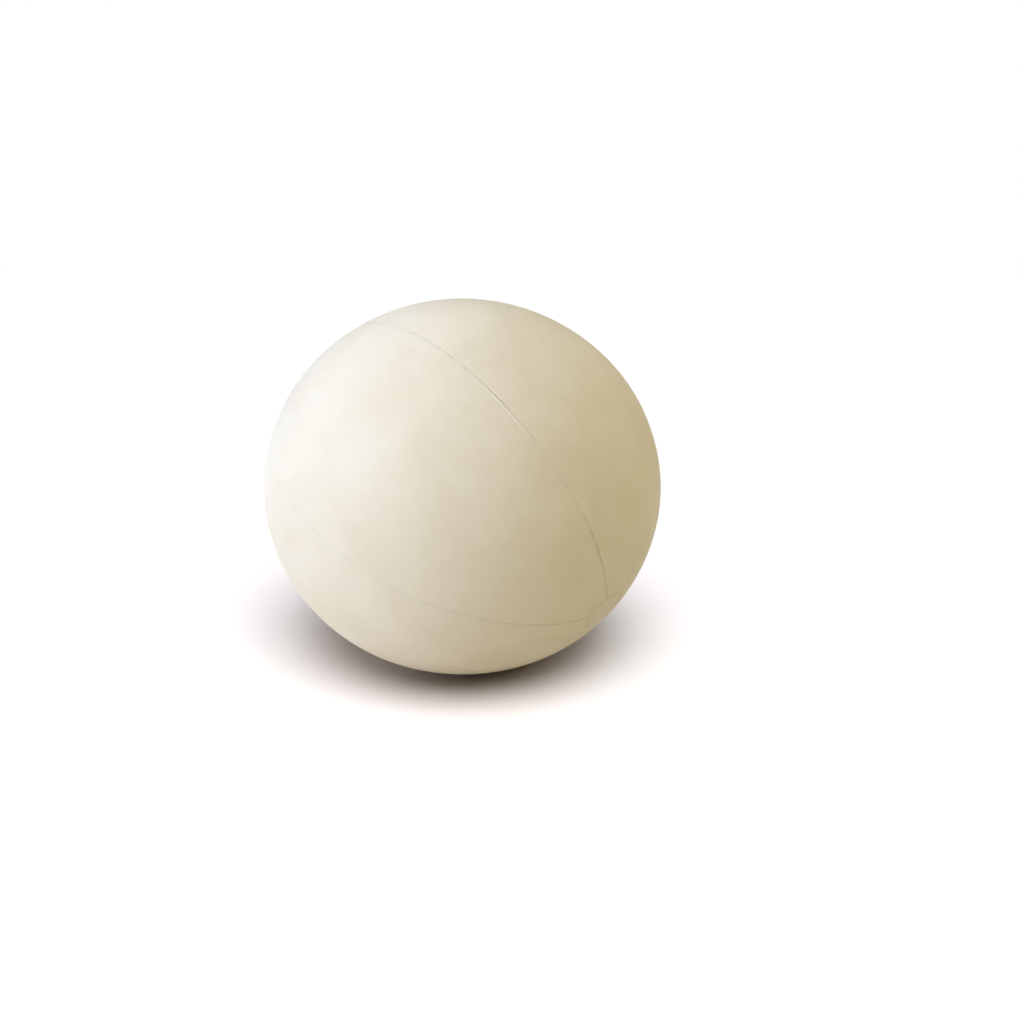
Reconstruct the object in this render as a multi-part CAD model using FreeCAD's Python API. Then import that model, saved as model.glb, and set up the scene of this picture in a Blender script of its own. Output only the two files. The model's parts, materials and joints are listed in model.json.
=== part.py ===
import FreeCAD, Part

import math
import os

# Hollow rubber dryer ball made of six gores cemented edge to edge.
#
# Row frame: millimetres, +Z up, origin at the middle of the small flat on which the ball rests.
#
# Every piece is first drawn in the pole frame, on a true sphere centred on the origin, where the Z axis
# joins the two poles and seam 1 runs down the +X side. The piece is then turned to the way the ball has
# rolled, squashed to the ball's true height, and lifted onto its rest flat.

# Ball
BALL_WIDTH = 75.0
HEIGHT_TO_WIDTH = 0.946
WALL = 3.0
REST_FLAT_RADIUS = 4.5

# How the ball has rolled, in degrees
POLE_HEADING = -40.0
POLE_DIP = 29.7
SEAM_ROLL = 31.4

# Gores and the cement seams between them
GORE_COUNT = 6
GROOVE_WIDTH = 0.5
GROOVE_DEPTH = 0.6
BEAD_PROUD = 0.12

# Pole closures
DISC_RADIUS = 4.5
DISC_PROUD = 0.1
DISC_EDGE_ROUND = 0.3
PATCH_RADIUS = 8.0
PATCH_THICKNESS = 1.0

# Seam tapes on the inside of the wall
TAPE_WIDTH = 7.0
TAPE_THICKNESS = 0.8
TAPE_END_GAP = 0.4

# Self-sealing plug behind the front pole
PLUG_RADIUS = 5.0
PLUG_LENGTH = 5.0

RADIUS = BALL_WIDTH / 2
INNER_RADIUS = RADIUS - WALL
GORE_ANGLE = 360.0 / GORE_COUNT
PATCH_INNER_RADIUS = INNER_RADIUS - PATCH_THICKNESS
TAPE_INNER_RADIUS = INNER_RADIUS - TAPE_THICKNESS

# Height of the ball's centre above the rest flat
CENTRE_HEIGHT = RADIUS * HEIGHT_TO_WIDTH * math.sqrt(1 - (REST_FLAT_RADIUS / RADIUS) ** 2)

ORIGIN = FreeCAD.Vector(0, 0, 0)
X_AXIS = FreeCAD.Vector(1, 0, 0)
Y_AXIS = FreeCAD.Vector(0, 1, 0)
POLE_AXIS = FreeCAD.Vector(0, 0, 1)


def polar_point(radius, latitude):
    """Point in the XZ plane at a latitude, in degrees, above the ball's equator."""
    angle = math.radians(latitude)
    return FreeCAD.Vector(radius * math.cos(angle), 0, radius * math.sin(angle))


def shell_gore(outer, inner, start_angle, sweep):
    """Part of a spherical shell between two meridians, from pole to pole."""
    outer_arc = Part.Arc(polar_point(outer, -90), polar_point(outer, 0), polar_point(outer, 90))
    inner_arc = Part.Arc(polar_point(inner, 90), polar_point(inner, 0), polar_point(inner, -90))
    edges = [
        outer_arc.toShape(),
        Part.makeLine(polar_point(outer, 90), polar_point(inner, 90)),
        inner_arc.toShape(),
        Part.makeLine(polar_point(inner, -90), polar_point(outer, -90)),
    ]
    profile = Part.Face(Part.Wire(edges))
    gore = profile.revolve(ORIGIN, POLE_AXIS, sweep)
    gore.rotate(ORIGIN, POLE_AXIS, start_angle)
    return gore


def meridian_strip(profile_points, crown_height):
    """Strip along the whole meridian on the +X side.

    The points give its cross-section as (distance across the seam, radius). They run from one top
    corner down and round to the other, and an arc that stands crown_height above the corners closes it.
    """
    points = [FreeCAD.Vector(radius, across, 0) for across, radius in profile_points]
    edges = [Part.makeLine(points[i], points[i + 1]) for i in range(len(points) - 1)]
    crown = FreeCAD.Vector(points[0].x + crown_height, 0, 0)
    edges.append(Part.Arc(points[-1], crown, points[0]).toShape())
    profile = Part.Face(Part.Wire(edges))
    profile.rotate(ORIGIN, Y_AXIS, 90)
    return profile.revolve(ORIGIN, Y_AXIS, -180)


def pole_cylinder(radius):
    """Cylinder through both poles."""
    return Part.makeCylinder(radius, 4 * RADIUS, FreeCAD.Vector(0, 0, -2 * RADIUS))


def at_pole(piece, side):
    """Keep a piece drawn at the front pole, or turn it over to the back pole."""
    placed = piece.copy()
    if side == "back":
        placed.rotate(ORIGIN, X_AXIS, 180)
    return placed


def at_seam(piece, number):
    """Turn a piece drawn on seam 1 about the pole axis onto another seam."""
    placed = piece.copy()
    placed.rotate(ORIGIN, POLE_AXIS, (number - 1) * GORE_ANGLE)
    return placed


def lay_down(piece):
    """Take a finished piece from the pole frame to the row frame."""
    placed = piece.copy()
    placed.rotate(ORIGIN, POLE_AXIS, SEAM_ROLL)
    placed.rotate(ORIGIN, Y_AXIS, 90 + POLE_DIP)
    placed.rotate(ORIGIN, POLE_AXIS, POLE_HEADING)
    squash = FreeCAD.Matrix()
    squash.scale(1, 1, HEIGHT_TO_WIDTH)
    placed = placed.transformGeometry(squash)
    placed.translate(FreeCAD.Vector(0, 0, CENTRE_HEIGHT))
    return placed


def cut_rest_flat(piece):
    """Remove what would reach below the rest flat."""
    floor_block = Part.makeBox(
        2 * BALL_WIDTH, 2 * BALL_WIDTH, BALL_WIDTH, FreeCAD.Vector(-BALL_WIDTH, -BALL_WIDTH, -BALL_WIDTH)
    )
    return piece.cut(floor_block)


def seam_bead():
    """Cement that fills the V groove of seam 1 and stands proud with a round crown."""
    half = GROOVE_WIDTH / 2
    edge_radius = math.sqrt(RADIUS ** 2 - half ** 2)
    points = [(-half, edge_radius), (0, RADIUS - GROOVE_DEPTH), (half, edge_radius)]
    bead = meridian_strip(points, BEAD_PROUD + RADIUS - edge_radius)
    return bead.cut(pole_cylinder(DISC_RADIUS))


def gore(number, bead):
    """Rubber panel between two seams, with its edges bevelled for the cement."""
    panel = shell_gore(RADIUS, INNER_RADIUS, (number - 1) * GORE_ANGLE, GORE_ANGLE)
    panel = panel.cut(pole_cylinder(DISC_RADIUS))
    for seam in (number, number % GORE_COUNT + 1):
        panel = panel.cut(at_seam(bead, seam))
    return panel


def seam_tape():
    """Flat rubber strip bonded behind seam 1, between the two pole patches."""
    half = TAPE_WIDTH / 2
    outer = math.sqrt(INNER_RADIUS ** 2 - half ** 2)
    points = [(-half, outer), (-half, outer - TAPE_THICKNESS), (half, outer - TAPE_THICKNESS), (half, outer)]
    tape = meridian_strip(points, INNER_RADIUS - outer)
    return tape.cut(pole_cylinder(PATCH_RADIUS + TAPE_END_GAP))


def is_outer_rim(edge):
    """Whether an edge of a pole disc is the circle round its outer face."""
    box = edge.BoundBox
    return box.ZMin > RADIUS - WALL / 2 and box.XLength > 1.5 * DISC_RADIUS


def pole_disc():
    """Round plug that closes the hole at the front pole, through the whole wall."""
    plug = Part.makeCylinder(DISC_RADIUS, 2 * RADIUS)
    crown = Part.makeSphere(RADIUS + DISC_PROUD)
    hollow = Part.makeSphere(INNER_RADIUS)
    disc = plug.common(crown).cut(hollow)
    rim = [edge for edge in disc.Edges if is_outer_rim(edge)]
    return disc.makeFillet(DISC_EDGE_ROUND, rim)


def pole_patch():
    """Round patch bonded to the inside of the wall behind the front pole."""
    patch = Part.makeCylinder(PATCH_RADIUS, 2 * RADIUS)
    return patch.common(Part.makeSphere(INNER_RADIUS)).cut(Part.makeSphere(PATCH_INNER_RADIUS))


def filling_plug():
    """Block of self-sealing rubber bonded to the front pole patch."""
    top = PATCH_INNER_RADIUS
    block = Part.makeCylinder(PLUG_RADIUS, PLUG_LENGTH, FreeCAD.Vector(0, 0, top - PLUG_LENGTH))
    return block.common(Part.makeSphere(PATCH_INNER_RADIUS))


def build():
    """All pieces of the ball in the row frame, by node name."""
    bead = seam_bead()
    tape = seam_tape()
    pieces = {}
    for number in range(1, GORE_COUNT + 1):
        pieces[f"gore_{number}"] = gore(number, bead)
        pieces[f"seam_bead_{number}"] = at_seam(bead, number)
        pieces[f"seam_tape_{number}"] = at_seam(tape, number)
    for side in ("front", "back"):
        pieces[f"pole_disc_{side}"] = at_pole(pole_disc(), side)
        pieces[f"pole_patch_{side}"] = at_pole(pole_patch(), side)
    pieces["filling_plug"] = filling_plug()
    return {name: cut_rest_flat(lay_down(piece)) for name, piece in pieces.items()}


os.makedirs("parts", exist_ok=True)
for node, shape in build().items():
    if not shape.isValid() or len(shape.Solids) != 1:
        raise RuntimeError(f"{node} is not one valid solid")
    solid = shape.Solids[0]
    solid.exportStep(f"parts/{node}.step")
    print(f"{node}: {solid.Volume / 1000:.2f} cm3")
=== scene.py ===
import json
import math

import bpy
import numpy as np
from mathutils import Matrix, Vector

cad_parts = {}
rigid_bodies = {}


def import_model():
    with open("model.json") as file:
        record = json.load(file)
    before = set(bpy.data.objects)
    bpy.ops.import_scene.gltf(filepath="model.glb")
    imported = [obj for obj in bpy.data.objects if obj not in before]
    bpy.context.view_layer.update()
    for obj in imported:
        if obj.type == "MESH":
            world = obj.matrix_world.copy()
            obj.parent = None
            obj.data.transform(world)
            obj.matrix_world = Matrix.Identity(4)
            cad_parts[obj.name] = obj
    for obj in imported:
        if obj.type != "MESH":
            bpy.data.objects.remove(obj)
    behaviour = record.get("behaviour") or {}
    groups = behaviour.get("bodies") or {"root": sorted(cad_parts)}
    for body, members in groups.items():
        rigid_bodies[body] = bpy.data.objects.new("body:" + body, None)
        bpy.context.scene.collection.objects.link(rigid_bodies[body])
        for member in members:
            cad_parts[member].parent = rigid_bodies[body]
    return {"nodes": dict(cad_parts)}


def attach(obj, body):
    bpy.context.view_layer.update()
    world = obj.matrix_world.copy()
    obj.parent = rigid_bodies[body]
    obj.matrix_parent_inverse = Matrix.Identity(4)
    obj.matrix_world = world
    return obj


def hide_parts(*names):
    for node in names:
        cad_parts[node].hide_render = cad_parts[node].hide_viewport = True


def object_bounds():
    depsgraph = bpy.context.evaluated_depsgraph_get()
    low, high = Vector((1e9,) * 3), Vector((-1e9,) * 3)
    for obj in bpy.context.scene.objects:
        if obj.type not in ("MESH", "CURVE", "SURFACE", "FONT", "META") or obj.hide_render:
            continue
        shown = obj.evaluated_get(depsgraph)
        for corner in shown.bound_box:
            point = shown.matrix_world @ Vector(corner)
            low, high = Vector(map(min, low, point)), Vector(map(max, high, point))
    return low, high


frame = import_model()
cad_low, cad_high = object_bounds()

# ---------------------------------------------------------------- the ball, in metres and degrees

MM = 0.001
HEIGHT_TO_WIDTH = 0.946
WALL = 3.0 * MM
POLE_HEADING = -40.0
POLE_DIP = 29.7
SEAM_ROLL = 31.4
GORE_COUNT = 6
GROOVE_DEPTH = 0.6 * MM
DISC_RADIUS = 4.5 * MM

HALF_WIDTH = (cad_high.x - cad_low.x) / 2
HALF_HEIGHT = HALF_WIDTH * HEIGHT_TO_WIDTH
CENTRE = Vector((0, 0, cad_high.z - HALF_HEIGHT))
INNER_RADIUS = HALF_WIDTH - WALL
GORE_ANGLE = 2 * math.pi / GORE_COUNT

# Skin relief: the gutter beside a seam, the swell of a gore between its seams, and the uneven skin
GUTTER_DEPTH = 0.012 * MM
GUTTER_WIDTH = 0.4 * MM
SWELL_HEIGHT = 0.05 * MM
SWELL_WIDTH = 7.0 * MM
UNEVEN_HEIGHT = 0.03 * MM
UNEVEN_LENGTH = 26.0 * MM

# Seam: cement level with the skin, with a hairline groove on one side and a low ridge beside it. The groove
# is deepest near the poles and closes in places, and every second seam was pressed flatter.
SEAM_GAP = 0.4 * MM
SEAM_WANDER = 0.06 * MM
BEAD_HALF_WIDTH = 0.42 * MM
BEAD_EDGE_RISE = 0.004 * MM
BEAD_EDGE_DROP = 0.034 * MM
HAIRLINE_DEPTH = 0.05 * MM
RIDGE_HEIGHT = 0.07 * MM
WANDER_BENDS = (3, 7, 13, 29, 47)
WANDER_FADE = 0.6

# Places and lengths along a seam, as shares of its length from pole to pole
FIRST_RIDGE_PLACE = 0.20
RIDGE_PLACE_STEP = 0.05
RIDGE_LENGTH = 0.07
NEAR_POLE_LENGTH = 0.2
CLOSED_LENGTH = 0.035
CLOSED_PLACES = {4: (0.29, 0.67), 5: (0.385, 0.54)}
CLOSED_FROM = 0.2
CLOSED_TO = 0.9
GROOVE_NICK_LENGTH = 0.022
RIDGE_NICK_LENGTH = 0.02

# Strengths along a seam, as shares of its full relief
PRESSED_RELIEF = 0.45
GROOVE_AWAY_FROM_POLES = 0.6
GROOVE_BESIDE_RIDGE = 0.25
GROOVE_NICKS = 0.35
RIDGE_NICKS = 0.4
CLOSED_LOSS = 0.9
GROOVE_LIMIT = 1.3
RIDGE_NICK_LIMIT = 1.4

# Cross-section of a bead, in half widths from its middle: its sinking edge, groove and ridge
EDGE_START = 0.55
EDGE_WIDTH = 0.35
GROOVE_ACROSS = -0.24
GROOVE_SPREAD = 0.19
RIDGE_ACROSS = 0.40
RIDGE_SPREAD = 0.26

# Pole disc: its low dome, rounded rim, uneven skin and, on the front one, the filling needle's mark
DISC_DOME = 0.08 * MM
DISC_RIM_DROP = 0.05 * MM
DISC_RIM_WIDTH = 0.3 * MM
NEEDLE_MARK_RADIUS = 0.5 * MM
NEEDLE_MARK_DEPTH = 0.25 * MM
DISC_UNEVEN_HEIGHT = 0.4 * UNEVEN_HEIGHT
DISC_UNEVEN_LENGTH = 3 * MM
DISC_WALL_DEPTHS = (0.35, 0.7, 1.0)

# Mesh fineness
ROWS = 320
SKIN_COLUMNS = 44
INNER_COLUMNS = 12
BEAD_ROWS = 700
BEAD_COLUMNS = 30
DISC_RINGS = 30
DISC_SPOKES = 96

# Random fields: each is the sum of a few sine waves whose lengths lie round the one asked for
SEED = 7
WAVE_COUNT = 9
SHORTEST_WAVE = 0.6
LONGEST_WAVE = 1.6


# ---------------------------------------------------------------- mapping and relief

def turn(axis, degrees):
    """Rotation matrix about one of the frame's axes."""
    return np.array(Matrix.Rotation(math.radians(degrees), 3, axis))


TO_ROW = turn("Z", POLE_HEADING) @ turn("Y", 90 + POLE_DIP) @ turn("Z", SEAM_ROLL)


def to_row_frame(points):
    """Points round the ball's centre, from the pole frame, where Z joins the poles, to the row frame."""
    turned = points @ TO_ROW.T
    turned[:, 2] *= HEIGHT_TO_WIDTH
    return turned + np.array(CENTRE)


def rest_on_floor(points):
    """Flatten what would reach below the rest flat."""
    points[:, 2] = np.maximum(points[:, 2], 0.0)
    return points


def ball_point(radius, polar, azimuth):
    """Cartesian points in the pole frame from radius, polar angle and azimuth arrays."""
    radius, polar, azimuth = np.broadcast_arrays(radius, polar, azimuth)
    return np.stack([
        radius * np.sin(polar) * np.cos(azimuth),
        radius * np.sin(polar) * np.sin(azimuth),
        radius * np.cos(polar),
    ], axis=-1).reshape(-1, 3)


def waves(points, length, seed):
    """Smooth uneven field, mostly between -1 and 1, over points."""
    random = np.random.default_rng(seed)
    field = np.zeros(len(points))
    for _ in range(WAVE_COUNT):
        direction = random.normal(size=3)
        direction /= np.linalg.norm(direction)
        wavelength = length * random.uniform(SHORTEST_WAVE, LONGEST_WAVE)
        field += np.sin(points @ direction * 2 * math.pi / wavelength + random.uniform(0, 2 * math.pi))
    return field / math.sqrt(WAVE_COUNT)


def seam_wander(seam, share):
    """How far a seam strays sideways from its meridian, at each share of its length."""
    random = np.random.default_rng(SEED + seam)
    stray = np.zeros_like(share)
    for bends in WANDER_BENDS:
        stray += np.sin(share * 2 * math.pi * bends + random.uniform(0, 2 * math.pi)) / bends ** WANDER_FADE
    return SEAM_WANDER * stray


def polar_rows(radius, rows):
    """Polar angles from one pole disc's rim to the other's, on a sphere of that radius."""
    start = math.asin(DISC_RADIUS / radius)
    return np.linspace(start, math.pi - start, rows + 1)


def skin_height(seam_distance, points):
    """Height of the skin over the plain ball."""
    gutter = -GUTTER_DEPTH * np.exp(-(seam_distance / GUTTER_WIDTH) ** 2)
    swell = SWELL_HEIGHT * (1 - np.exp(-(seam_distance / SWELL_WIDTH) ** 2)) - SWELL_HEIGHT
    uneven = UNEVEN_HEIGHT * waves(points, UNEVEN_LENGTH, SEED)
    return gutter + swell + uneven


# ---------------------------------------------------------------- mesh builders

def make_object(name, vertices, faces):
    """Smooth-shaded mesh object that rides on the ball's one body."""
    mesh = bpy.data.meshes.new(name)
    mesh.from_pydata([tuple(v) for v in vertices], [], faces)
    mesh.validate()
    mesh.shade_smooth()
    piece = bpy.data.objects.new(name, mesh)
    bpy.context.scene.collection.objects.link(piece)
    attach(piece, "root")
    return piece


def loft(rings):
    """Faces that join equal closed rings of points in order, with a face over each end."""
    count = len(rings[0])
    faces = []
    for row in range(len(rings) - 1):
        first = row * count
        for i in range(count):
            j = (i + 1) % count
            faces.append((first + i, first + count + i, first + count + j, first + j))
    faces.append(tuple(range(count)))
    last = (len(rings) - 1) * count
    faces.append(tuple(range(last + count - 1, last - 1, -1)))
    return faces


def add_values(piece, name, values):
    """Store one number per vertex for the material to read."""
    layer = piece.data.attributes.new(name, "FLOAT", "POINT")
    layer.data.foreach_set("value", np.asarray(values, np.float32))


def gore_skin(number):
    """One gore: a closed panel with a skin, bevelled edges along its seams, and an inside."""
    share = np.linspace(0, 1, ROWS + 1)
    outer_polar = polar_rows(HALF_WIDTH, ROWS)
    bevel_polar = polar_rows(HALF_WIDTH - GROOVE_DEPTH, ROWS)
    inner_polar = polar_rows(INNER_RADIUS, ROWS)
    start = (number - 1) * GORE_ANGLE
    first_stray = seam_wander(number, share)
    second_stray = seam_wander(number % GORE_COUNT + 1, share)
    spread = (1 - np.cos(np.linspace(0, math.pi, SKIN_COLUMNS + 1))) / 2

    rings = []
    near_seam = []
    for row in range(ROWS + 1):
        round_radius = HALF_WIDTH * math.sin(outer_polar[row])
        low = start + (first_stray[row] + SEAM_GAP / 2) / round_radius
        high = start + GORE_ANGLE + (second_stray[row] - SEAM_GAP / 2) / round_radius
        azimuth = low + (high - low) * spread
        plain = ball_point(HALF_WIDTH, outer_polar[row], azimuth)
        to_first = round_radius * np.sin(np.minimum(azimuth - low, math.pi / 2))
        to_second = round_radius * np.sin(np.minimum(high - azimuth, math.pi / 2))
        seam_distance = np.minimum(to_first, to_second)
        height = skin_height(seam_distance, plain)
        skin = plain * (1 + height / HALF_WIDTH)[:, None]

        low_bevel = ball_point(HALF_WIDTH - GROOVE_DEPTH, bevel_polar[row], start)
        high_bevel = ball_point(HALF_WIDTH - GROOVE_DEPTH, bevel_polar[row], start + GORE_ANGLE)
        inner_azimuth = np.linspace(start + GORE_ANGLE, start, INNER_COLUMNS + 1)
        inside = ball_point(INNER_RADIUS, inner_polar[row], inner_azimuth)
        rings.append(np.vstack([skin, high_bevel, inside, low_bevel]))
        near_seam.append(np.exp(-seam_distance / GUTTER_WIDTH))
        near_seam.append(np.ones(len(inside) + 2))

    points = rest_on_floor(to_row_frame(np.vstack(rings)))
    piece = make_object(f"gore_skin_{number}", points, loft(rings))
    add_values(piece, "near_seam", np.concatenate(near_seam))
    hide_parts(f"gore_{number}")
    return piece


def seam_relief(share, seam):
    """Depth of the hairline groove and height of its ridge along a seam, each from 0 to about 1."""
    random = np.random.default_rng(SEED * 31 + seam)
    along = np.stack([share, np.full_like(share, seam), np.zeros_like(share)], axis=1)
    pressed = PRESSED_RELIEF if seam % 2 else 1.0
    ridge_place = FIRST_RIDGE_PLACE + RIDGE_PLACE_STEP * seam
    ridge = pressed * np.exp(-((share - ridge_place) / RIDGE_LENGTH) ** 2)
    near_pole = np.exp(-(np.minimum(share, 1 - share) / NEAR_POLE_LENGTH) ** 2)
    groove = near_pole + (1 - near_pole) * GROOVE_AWAY_FROM_POLES * pressed + GROOVE_BESIDE_RIDGE * ridge
    groove *= 1 + GROOVE_NICKS * waves(along, GROOVE_NICK_LENGTH, SEED + 5 * seam)
    for place in CLOSED_PLACES.get(seam, random.uniform(CLOSED_FROM, CLOSED_TO, 2)):
        groove *= 1 - CLOSED_LOSS * np.exp(-((share - place) / CLOSED_LENGTH) ** 2)
    nicks = 1 + RIDGE_NICKS * waves(along, RIDGE_NICK_LENGTH, SEED + 7 * seam)
    ridge *= np.clip(nicks, 0, RIDGE_NICK_LIMIT)
    return np.clip(groove, 0, GROOVE_LIMIT), ridge


def seam_bead(number):
    """Cement along one seam, with a wedge below it that fills the space between the two gores."""
    share = np.linspace(0, 1, BEAD_ROWS + 1)
    polar = polar_rows(HALF_WIDTH, BEAD_ROWS)
    stray = seam_wander(number, share)
    groove, ridge = seam_relief(share, number)
    meridian = (number - 1) * GORE_ANGLE
    across = np.linspace(-1, 1, BEAD_COLUMNS + 1)
    edge = np.clip((np.abs(across) - EDGE_START) / EDGE_WIDTH, 0, 1)
    level = BEAD_EDGE_RISE - BEAD_EDGE_DROP * edge ** 2 * (3 - 2 * edge)
    groove_shape = np.exp(-((across - GROOVE_ACROSS) / GROOVE_SPREAD) ** 2)
    ridge_shape = np.exp(-((across - RIDGE_ACROSS) / RIDGE_SPREAD) ** 2)

    rings = []
    for row in range(BEAD_ROWS + 1):
        round_radius = HALF_WIDTH * math.sin(polar[row])
        azimuth = meridian + (stray[row] + across * BEAD_HALF_WIDTH) / round_radius
        plain = ball_point(HALF_WIDTH, polar[row], azimuth)
        height = level - GUTTER_DEPTH - SWELL_HEIGHT + UNEVEN_HEIGHT * waves(plain, UNEVEN_LENGTH, SEED)
        height += RIDGE_HEIGHT * ridge[row] * ridge_shape - HAIRLINE_DEPTH * groove[row] * groove_shape
        crown = plain * (1 + height / HALF_WIDTH)[:, None]
        wedge = ball_point(HALF_WIDTH - GROOVE_DEPTH, polar[row], meridian + stray[row] / round_radius)
        rings.append(np.vstack([crown, wedge]))

    points = rest_on_floor(to_row_frame(np.vstack(rings)))
    piece = make_object(f"cement_bead_{number}", points, loft(rings))
    add_values(piece, "groove", np.outer(groove, np.append(groove_shape, 1)).ravel())
    add_values(piece, "ridge", np.outer(ridge, np.append(ridge_shape, 0)).ravel())
    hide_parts(f"seam_bead_{number}")
    return piece


def pole_disc(side):
    """Round plug at one pole: low dome, rounded rim, straight wall and an inside face."""
    ring_share = np.linspace(0, 1, DISC_RINGS + 1)[1:]
    azimuth = np.linspace(0, 2 * math.pi, DISC_SPOKES, endpoint=False)
    radii = DISC_RADIUS * ring_share
    dome = DISC_DOME * (1 - ring_share ** 2)
    rim = DISC_RIM_DROP * np.exp(-((DISC_RADIUS - radii) / DISC_RIM_WIDTH) ** 2)
    mark_depth = NEEDLE_MARK_DEPTH if side == "front" else 0.0
    mark = mark_depth * np.exp(-(radii / NEEDLE_MARK_RADIUS) ** 2)
    rings = []
    for radius, height in zip(radii, dome - rim - mark):
        polar = math.asin(radius / HALF_WIDTH)
        rings.append(ball_point(HALF_WIDTH + height, polar, azimuth))
    for depth in DISC_WALL_DEPTHS:
        wall_radius = HALF_WIDTH - depth * WALL
        rings.append(ball_point(wall_radius, math.asin(DISC_RADIUS / wall_radius), azimuth))
    inside = ball_point(INNER_RADIUS, math.asin(DISC_RADIUS / INNER_RADIUS / 2), azimuth)
    rings.append(inside)

    local = np.vstack(rings)
    uneven = DISC_UNEVEN_HEIGHT * waves(local, DISC_UNEVEN_LENGTH, SEED + 11)
    local += local * (uneven / HALF_WIDTH)[:, None]
    if side == "back":
        local = local * np.array([1, -1, -1])
    piece = make_object(f"pole_plug_{side}", to_row_frame(local), loft(rings))
    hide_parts(f"pole_disc_{side}")
    return piece


# ---------------------------------------------------------------- materials

class Recipe:
    """Small helper that adds and links the nodes of one material."""

    def __init__(self, name):
        self.material = bpy.data.materials.new(name)
        self.material.use_nodes = True
        self.nodes = self.material.node_tree.nodes
        self.links = self.material.node_tree.links
        self.shader = self.nodes["Principled BSDF"]
        self.position = self.nodes.new("ShaderNodeTexCoord").outputs["Object"]

    def link(self, source, socket):
        """Join a node's output to another's input."""
        self.links.new(source, socket)

    def noise(self, size, detail=3.0, roughness=0.5, distortion=0.0, shift=0.0):
        """Noise whose features are about size metres across, from 0 to 1."""
        node = self.nodes.new("ShaderNodeTexNoise")
        node.noise_dimensions = "4D"
        node.inputs["W"].default_value = shift
        node.inputs["Scale"].default_value = 1 / size
        node.inputs["Detail"].default_value = detail
        node.inputs["Roughness"].default_value = roughness
        node.inputs["Distortion"].default_value = distortion
        self.link(self.position, node.inputs["Vector"])
        return node.outputs["Fac"]

    def spread(self, value, low, high, to_low=0.0, to_high=1.0):
        """Map the range low to high onto to_low to to_high, smoothly and clamped."""
        node = self.nodes.new("ShaderNodeMapRange")
        node.interpolation_type = "SMOOTHSTEP"
        node.inputs["From Min"].default_value = low
        node.inputs["From Max"].default_value = high
        node.inputs["To Min"].default_value = to_low
        node.inputs["To Max"].default_value = to_high
        self.link(value, node.inputs["Value"])
        return node.outputs["Result"]

    def mix(self, amount, first, second):
        """Blend of two colours, each a tuple or another node's output."""
        node = self.nodes.new("ShaderNodeMix")
        node.data_type = "RGBA"
        self.link(amount, node.inputs[0])
        for value, socket in ((first, node.inputs[6]), (second, node.inputs[7])):
            if isinstance(value, tuple):
                socket.default_value = (*value, 1)
            else:
                self.link(value, socket)
        return node.outputs[2]

    def math(self, operation, first, second):
        """One arithmetic step on two outputs or numbers."""
        node = self.nodes.new("ShaderNodeMath")
        node.operation = operation
        for value, socket in ((first, node.inputs[0]), (second, node.inputs[1])):
            if isinstance(value, (int, float)):
                socket.default_value = value
            else:
                self.link(value, socket)
        return node.outputs["Value"]

    def attribute(self, name):
        """Number stored on the mesh's vertices."""
        node = self.nodes.new("ShaderNodeAttribute")
        node.attribute_name = name
        return node.outputs["Fac"]

    def bump(self, height, distance, under=None):
        """Surface relief of that height in metres, on top of another bump if one is given."""
        node = self.nodes.new("ShaderNodeBump")
        node.inputs["Strength"].default_value = 1.0
        node.inputs["Distance"].default_value = distance
        self.link(height, node.inputs["Height"])
        if under is not None:
            self.link(under, node.inputs["Normal"])
        return node.outputs["Normal"]

    def finish(self, colour, roughness, normal):
        """Feed the shader's varying sockets."""
        self.link(colour, self.shader.inputs["Base Color"])
        self.link(roughness, self.shader.inputs["Roughness"])
        self.link(normal, self.shader.inputs["Normal"])
        return self.material


CREAM = (0.745, 0.646, 0.458)
PALE_CREAM = (0.765, 0.672, 0.490)
WARM_CREAM = (0.725, 0.620, 0.432)
ROSE_CREAM = (0.755, 0.633, 0.469)
# Pale cream painted on the seam ridge as a highlight, where the ridge catches light
RIDGE_HIGHLIGHT_CREAM = (0.86, 0.80, 0.68)
SPECK = (0.66, 0.546, 0.383)
# Brown for real soiling on the discs, and for painted shade in the seam grooves and beside the seams
SOIL_AND_SHADE = (0.30, 0.235, 0.15)
TAPE_LIGHT = (0.50, 0.36, 0.20)
TAPE_DARK = (0.36, 0.25, 0.13)
GUM_LIGHT = (0.33, 0.19, 0.08)
GUM_DARK = (0.22, 0.12, 0.05)

# Sizes of the patterns in the rubber, and heights of its relief
CLOUD_SIZE = 12 * MM
PATCH_SIZE = 9 * MM
BLUSH_SIZE = 15 * MM
SPECK_SIZE = 0.9 * MM
SHEEN_SIZE = 6 * MM
GRAIN_SIZE = 0.35 * MM
GRAIN_HEIGHT = 0.004 * MM
PEEL_SIZE = 2.4 * MM
PEEL_HEIGHT = 0.02 * MM
DUST_SIZE = 3 * MM
HANDLING_SIZE = 4 * MM
RAW_TONE_SIZE = 7 * MM
RAW_DUST_SIZE = 2.5 * MM
RAW_SHEEN_SIZE = 3 * MM
RAW_GRAIN_SIZE = 0.4 * MM
RAW_GRAIN_HEIGHT = 0.03 * MM

# How far each pattern changes the colour, from 0 to 1
PATCH_AMOUNT = 0.45
BLUSH_AMOUNT = 0.2
SPECK_AMOUNT = 0.22
# Painted shade of the seam crease, with dust, on the gores beside the seams
SEAM_SHADE_AND_DUST_AMOUNT = 0.10
# Painted shade, with dust, in the seam's hairline groove
GROOVE_SHADE_AND_DUST_AMOUNT = 0.5
# Painted highlight on the seam ridge
RIDGE_HIGHLIGHT_AMOUNT = 0.6
RAW_DUST_AMOUNT = 0.5


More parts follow.
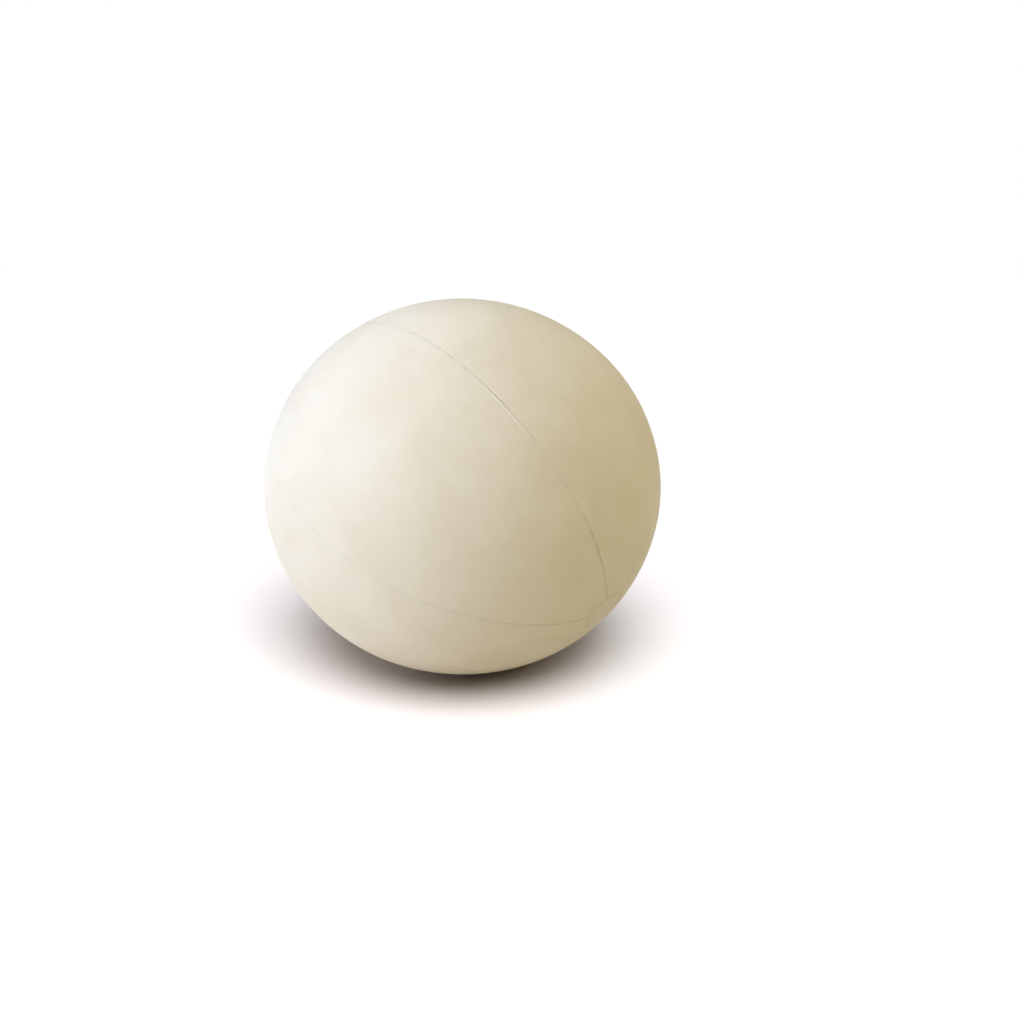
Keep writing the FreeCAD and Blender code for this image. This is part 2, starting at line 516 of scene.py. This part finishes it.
def satin_rubber(name):
    """Cream rubber with cloudy mottling, fine grain and a low sheen, shared by gores, discs and cement."""
    recipe = Recipe(name)
    shader = recipe.shader
    shader.inputs["IOR"].default_value = 1.5
    shader.inputs["Specular IOR Level"].default_value = 0.15
    shader.inputs["Subsurface Weight"].default_value = 0.06
    shader.inputs["Subsurface Radius"].default_value = (1.0, 0.7, 0.45)
    shader.inputs["Subsurface Scale"].default_value = 0.6 * MM

    clouds = recipe.spread(recipe.noise(CLOUD_SIZE, detail=4, roughness=0.6, distortion=0.4), 0.32, 0.68)
    patch_noise = recipe.noise(PATCH_SIZE, detail=3, distortion=0.2, shift=3.0)
    patches = recipe.spread(patch_noise, 0.38, 0.66)
    blush_noise = recipe.noise(BLUSH_SIZE, detail=2, distortion=0.3, shift=8.0)
    blush = recipe.spread(blush_noise, 0.5, 0.75, 0.0, BLUSH_AMOUNT)
    speck_noise = recipe.noise(SPECK_SIZE, detail=2, roughness=0.6, shift=5.0)
    specks = recipe.spread(speck_noise, 0.70, 0.80, 0.0, SPECK_AMOUNT)
    base = recipe.mix(clouds, WARM_CREAM, PALE_CREAM)
    base = recipe.mix(recipe.math("MULTIPLY", patches, PATCH_AMOUNT), base, CREAM)
    base = recipe.mix(blush, base, ROSE_CREAM)
    base = recipe.mix(specks, base, SPECK)

    sheen = recipe.noise(SHEEN_SIZE, detail=4, roughness=0.6, distortion=0.3, shift=12.0)
    roughness = recipe.spread(sheen, 0.3, 0.7, 0.52, 0.60)
    grain = recipe.bump(recipe.noise(GRAIN_SIZE, detail=3, roughness=0.55, shift=21.0), GRAIN_HEIGHT)
    orange_peel = recipe.bump(recipe.noise(PEEL_SIZE, detail=2, shift=30.0), PEEL_HEIGHT, grain)
    return recipe, base, roughness, orange_peel


def gore_material():
    """Satin rubber that darkens a little in patches right beside the seams, where dust and cement gather:
    partly dust, partly painted shade of the seam crease.
    """
    recipe, base, roughness, normal = satin_rubber("gore_rubber_satin")
    # Painted shade of the seam crease, broken up in dusty patches, darkens the skin right beside each seam
    near = recipe.spread(recipe.attribute("near_seam"), 0.35, 0.95, 0.0, SEAM_SHADE_AND_DUST_AMOUNT)
    dust = recipe.spread(recipe.noise(DUST_SIZE, detail=3, roughness=0.6, shift=40.0), 0.3, 0.65)
    base = recipe.mix(recipe.math("MULTIPLY", near, dust), base, SOIL_AND_SHADE)
    return recipe.finish(base, roughness, normal)


def disc_material():
    """Satin rubber, handled and a little soiled in patches."""
    recipe, base, roughness, normal = satin_rubber("pole_disc_rubber_satin")
    handling = recipe.noise(HANDLING_SIZE, detail=3, distortion=0.3, shift=17.0)
    soiled = recipe.spread(handling, 0.35, 0.75, 0.03, 0.16)
    return recipe.finish(recipe.mix(soiled, base, SOIL_AND_SHADE), roughness, normal)


def cement_material():
    """Cured rubber cement: the skin's own colour, darkened in the groove by painted shade and dust, and
    paler on the ridge as a painted highlight.
    """
    recipe, base, roughness, normal = satin_rubber("seam_cement_cured")
    # Painted shade of the hairline groove, with dust, darkens the cement there
    groove_shade_and_dust = recipe.spread(recipe.attribute("groove"), 0.0, 1.0, 0.0, GROOVE_SHADE_AND_DUST_AMOUNT)
    # Painted highlight: the ridge is made paler where it catches light
    ridge_highlight = recipe.spread(recipe.attribute("ridge"), 0.0, 1.0, 0.0, RIDGE_HIGHLIGHT_AMOUNT)
    base = recipe.mix(groove_shade_and_dust, base, SOIL_AND_SHADE)
    base = recipe.mix(ridge_highlight, base, RIDGE_HIGHLIGHT_CREAM)
    return recipe.finish(base, roughness, normal)


def inner_material(name, light, dark, smoothest, roughest):
    """Raw unpainted rubber on the inside of the ball, with calendered grain and dusted patches."""
    recipe = Recipe(name)
    tone = recipe.spread(recipe.noise(RAW_TONE_SIZE, detail=4, roughness=0.6, distortion=0.5), 0.3, 0.7)
    dust = recipe.noise(RAW_DUST_SIZE, detail=3, roughness=0.6, shift=2.0)
    dusted = recipe.spread(dust, 0.5, 0.75, 0.0, RAW_DUST_AMOUNT)
    colour = recipe.mix(dusted, recipe.mix(tone, dark, light), PALE_CREAM)
    sheen = recipe.noise(RAW_SHEEN_SIZE, detail=3, roughness=0.6, shift=6.0)
    roughness = recipe.spread(sheen, 0.3, 0.7, smoothest, roughest)
    grain = recipe.noise(RAW_GRAIN_SIZE, detail=4, roughness=0.65, shift=14.0)
    return recipe.finish(colour, roughness, recipe.bump(grain, RAW_GRAIN_HEIGHT))


def paint(piece, material):
    """Give every face of a piece one material."""
    piece.data.materials.clear()
    piece.data.materials.append(material)


# ---------------------------------------------------------------- the ball's pieces

gore_rubber = gore_material()
disc_rubber = disc_material()
cement = cement_material()
tape_rubber = inner_material("tape_rubber_raw", TAPE_LIGHT, TAPE_DARK, 0.7, 0.9)
plug_rubber = inner_material("plug_rubber_gum", GUM_LIGHT, GUM_DARK, 0.55, 0.75)

for number in range(1, GORE_COUNT + 1):
    paint(gore_skin(number), gore_rubber)
    paint(seam_bead(number), cement)
    paint(frame["nodes"][f"seam_tape_{number}"], tape_rubber)
for side in ("front", "back"):
    paint(pole_disc(side), disc_rubber)
    paint(frame["nodes"][f"pole_patch_{side}"], tape_rubber)
paint(frame["nodes"]["filling_plug"], plug_rubber)


# ---------------------------------------------------------------- floor, light and camera

FLOOR_NAME = "studio_floor"
FLOOR_SIDE = 6.0
FLOOR_COLOUR = (0.92, 0.835, 0.835)
FLOOR_BOUNCE = (0.46, 0.41, 0.36)

# Tints of the lamps
COOL = (1.0, 1.16, 1.63)
WARM = (1.0, 0.90, 0.52)
NEUTRAL = (1.0, 0.98, 0.85)
FLOOR_TINT = (1.0, 1.088, 1.11)
AMBER = (1.0, 0.83, 0.67)


def floor():
    """Plain pale floor that bounces less light than it shows, so that the ball's underside stays shaded."""
    half = FLOOR_SIDE / 2
    mesh = bpy.data.meshes.new(FLOOR_NAME)
    corners = [(-half, -half, 0), (half, -half, 0), (half, half, 0), (-half, half, 0)]
    mesh.from_pydata(corners, [], [(0, 1, 2, 3)])
    plane = bpy.data.objects.new(FLOOR_NAME, mesh)
    bpy.context.scene.collection.objects.link(plane)
    material = bpy.data.materials.new("studio_floor_white")
    material.use_nodes = True
    shader = material.node_tree.nodes["Principled BSDF"]
    shader.inputs["Roughness"].default_value = 0.9
    shader.inputs["Specular IOR Level"].default_value = 0.0
    path = material.node_tree.nodes.new("ShaderNodeLightPath")
    colour = material.node_tree.nodes.new("ShaderNodeMix")
    colour.data_type = "RGBA"
    colour.inputs[6].default_value = (*FLOOR_COLOUR, 1)
    colour.inputs[7].default_value = (*FLOOR_BOUNCE, 1)
    material.node_tree.links.new(path.outputs["Is Diffuse Ray"], colour.inputs[0])
    material.node_tree.links.new(colour.outputs[2], shader.inputs["Base Color"])
    plane.data.materials.append(material)


def soft_light(name, azimuth, elevation, spread, strength, tint, lit):
    """Distant soft light on one collection. Azimuth 0 is the camera's side and -90 is its left."""
    lamp = bpy.data.lights.new(name, "SUN")
    lamp.angle = math.radians(spread)
    lamp.energy = strength * max(tint)
    lamp.color = [channel / max(tint) for channel in tint]
    light = bpy.data.objects.new(name, lamp)
    a = math.radians(azimuth)
    e = math.radians(elevation)
    towards = Vector((math.sin(a) * math.cos(e), -math.cos(a) * math.cos(e), math.sin(e)))
    light.rotation_euler = towards.to_track_quat("Z", "Y").to_euler()
    light.light_linking.receiver_collection = lit
    bpy.context.scene.collection.objects.link(light)


def backdrop():
    """White surroundings that only the camera sees, so that they light nothing."""
    world = bpy.data.worlds.new("studio")
    world.use_nodes = True
    nodes = world.node_tree.nodes
    links = world.node_tree.links
    dark = nodes["Background"]
    dark.inputs["Color"].default_value = (0, 0, 0, 1)
    white = nodes.new("ShaderNodeBackground")
    white.inputs["Color"].default_value = (1, 1, 1, 1)
    path = nodes.new("ShaderNodeLightPath")
    either = nodes.new("ShaderNodeMixShader")
    links.new(path.outputs["Is Camera Ray"], either.inputs[0])
    links.new(dark.outputs[0], either.inputs[1])
    links.new(white.outputs[0], either.inputs[2])
    links.new(either.outputs[0], nodes["World Output"].inputs["Surface"])
    bpy.context.scene.world = world


CAMERA_ELEVATION = 14.0
CAMERA_DISTANCE = 4.89 * HALF_WIDTH
CAMERA_PAN_RIGHT = 2.87
CAMERA_TILT_DOWN = 1.53
CAMERA_LENS = 33.3


def camera():
    """Camera in front of the ball and a little above it, aimed to its right and below its middle."""
    e = math.radians(CAMERA_ELEVATION)
    back = Vector((0, -math.cos(e), math.sin(e)))
    right = Vector((1, 0, 0))
    up = back.cross(right)
    aim = Matrix.Rotation(-math.radians(CAMERA_PAN_RIGHT), 3, up)
    aim = aim @ Matrix.Rotation(-math.radians(CAMERA_TILT_DOWN), 3, right)
    level = Matrix((right, up, back)).transposed()
    data = bpy.data.cameras.new("camera")
    data.lens = CAMERA_LENS
    data.clip_start = 0.01
    view = bpy.data.objects.new("camera", data)
    view.matrix_world = (aim @ level).to_4x4()
    view.location = CENTRE + CAMERA_DISTANCE * back
    bpy.context.scene.collection.objects.link(view)
    bpy.context.scene.camera = view


def lit_groups():
    """The ball's pieces and the floor as two collections, so that each has lamps of its own."""
    ball_group = bpy.data.collections.new("lit_ball")
    floor_group = bpy.data.collections.new("lit_floor")
    for shown in bpy.context.scene.objects:
        if shown.type == "MESH":
            group = floor_group if shown.name == FLOOR_NAME else ball_group
            group.objects.link(shown)
    return ball_group, floor_group


floor()
ball_pieces, floor_pieces = lit_groups()

# Name, azimuth, elevation and angular size in degrees, strength, tint, and what the lamp lights
soft_light("left", -75, 5, 50, 3.62, COOL, ball_pieces)
soft_light("upper_left", -110, 60, 40, 0.40, COOL, ball_pieces)
soft_light("front_left", -45, 20, 50, 0.60, COOL, ball_pieces)
soft_light("top", 0, 86, 60, 0.72, COOL, ball_pieces)
soft_light("front_right", 25, 30, 50, 0.78, WARM, ball_pieces)
soft_light("right", 88, 42, 55, 0.68, WARM, ball_pieces)
soft_light("back_right", 149, 41, 50, 0.55, NEUTRAL, ball_pieces)
soft_light("overhead", -4, 59, 44, 2.96, FLOOR_TINT, floor_pieces)
soft_light("overhead_right", 25, 54, 46, 1.12, FLOOR_TINT, floor_pieces)
soft_light("ceiling", 0, 88, 150, 0.18, AMBER, floor_pieces)
backdrop()
camera()
bpy.context.scene.view_settings.view_transform = "Standard"
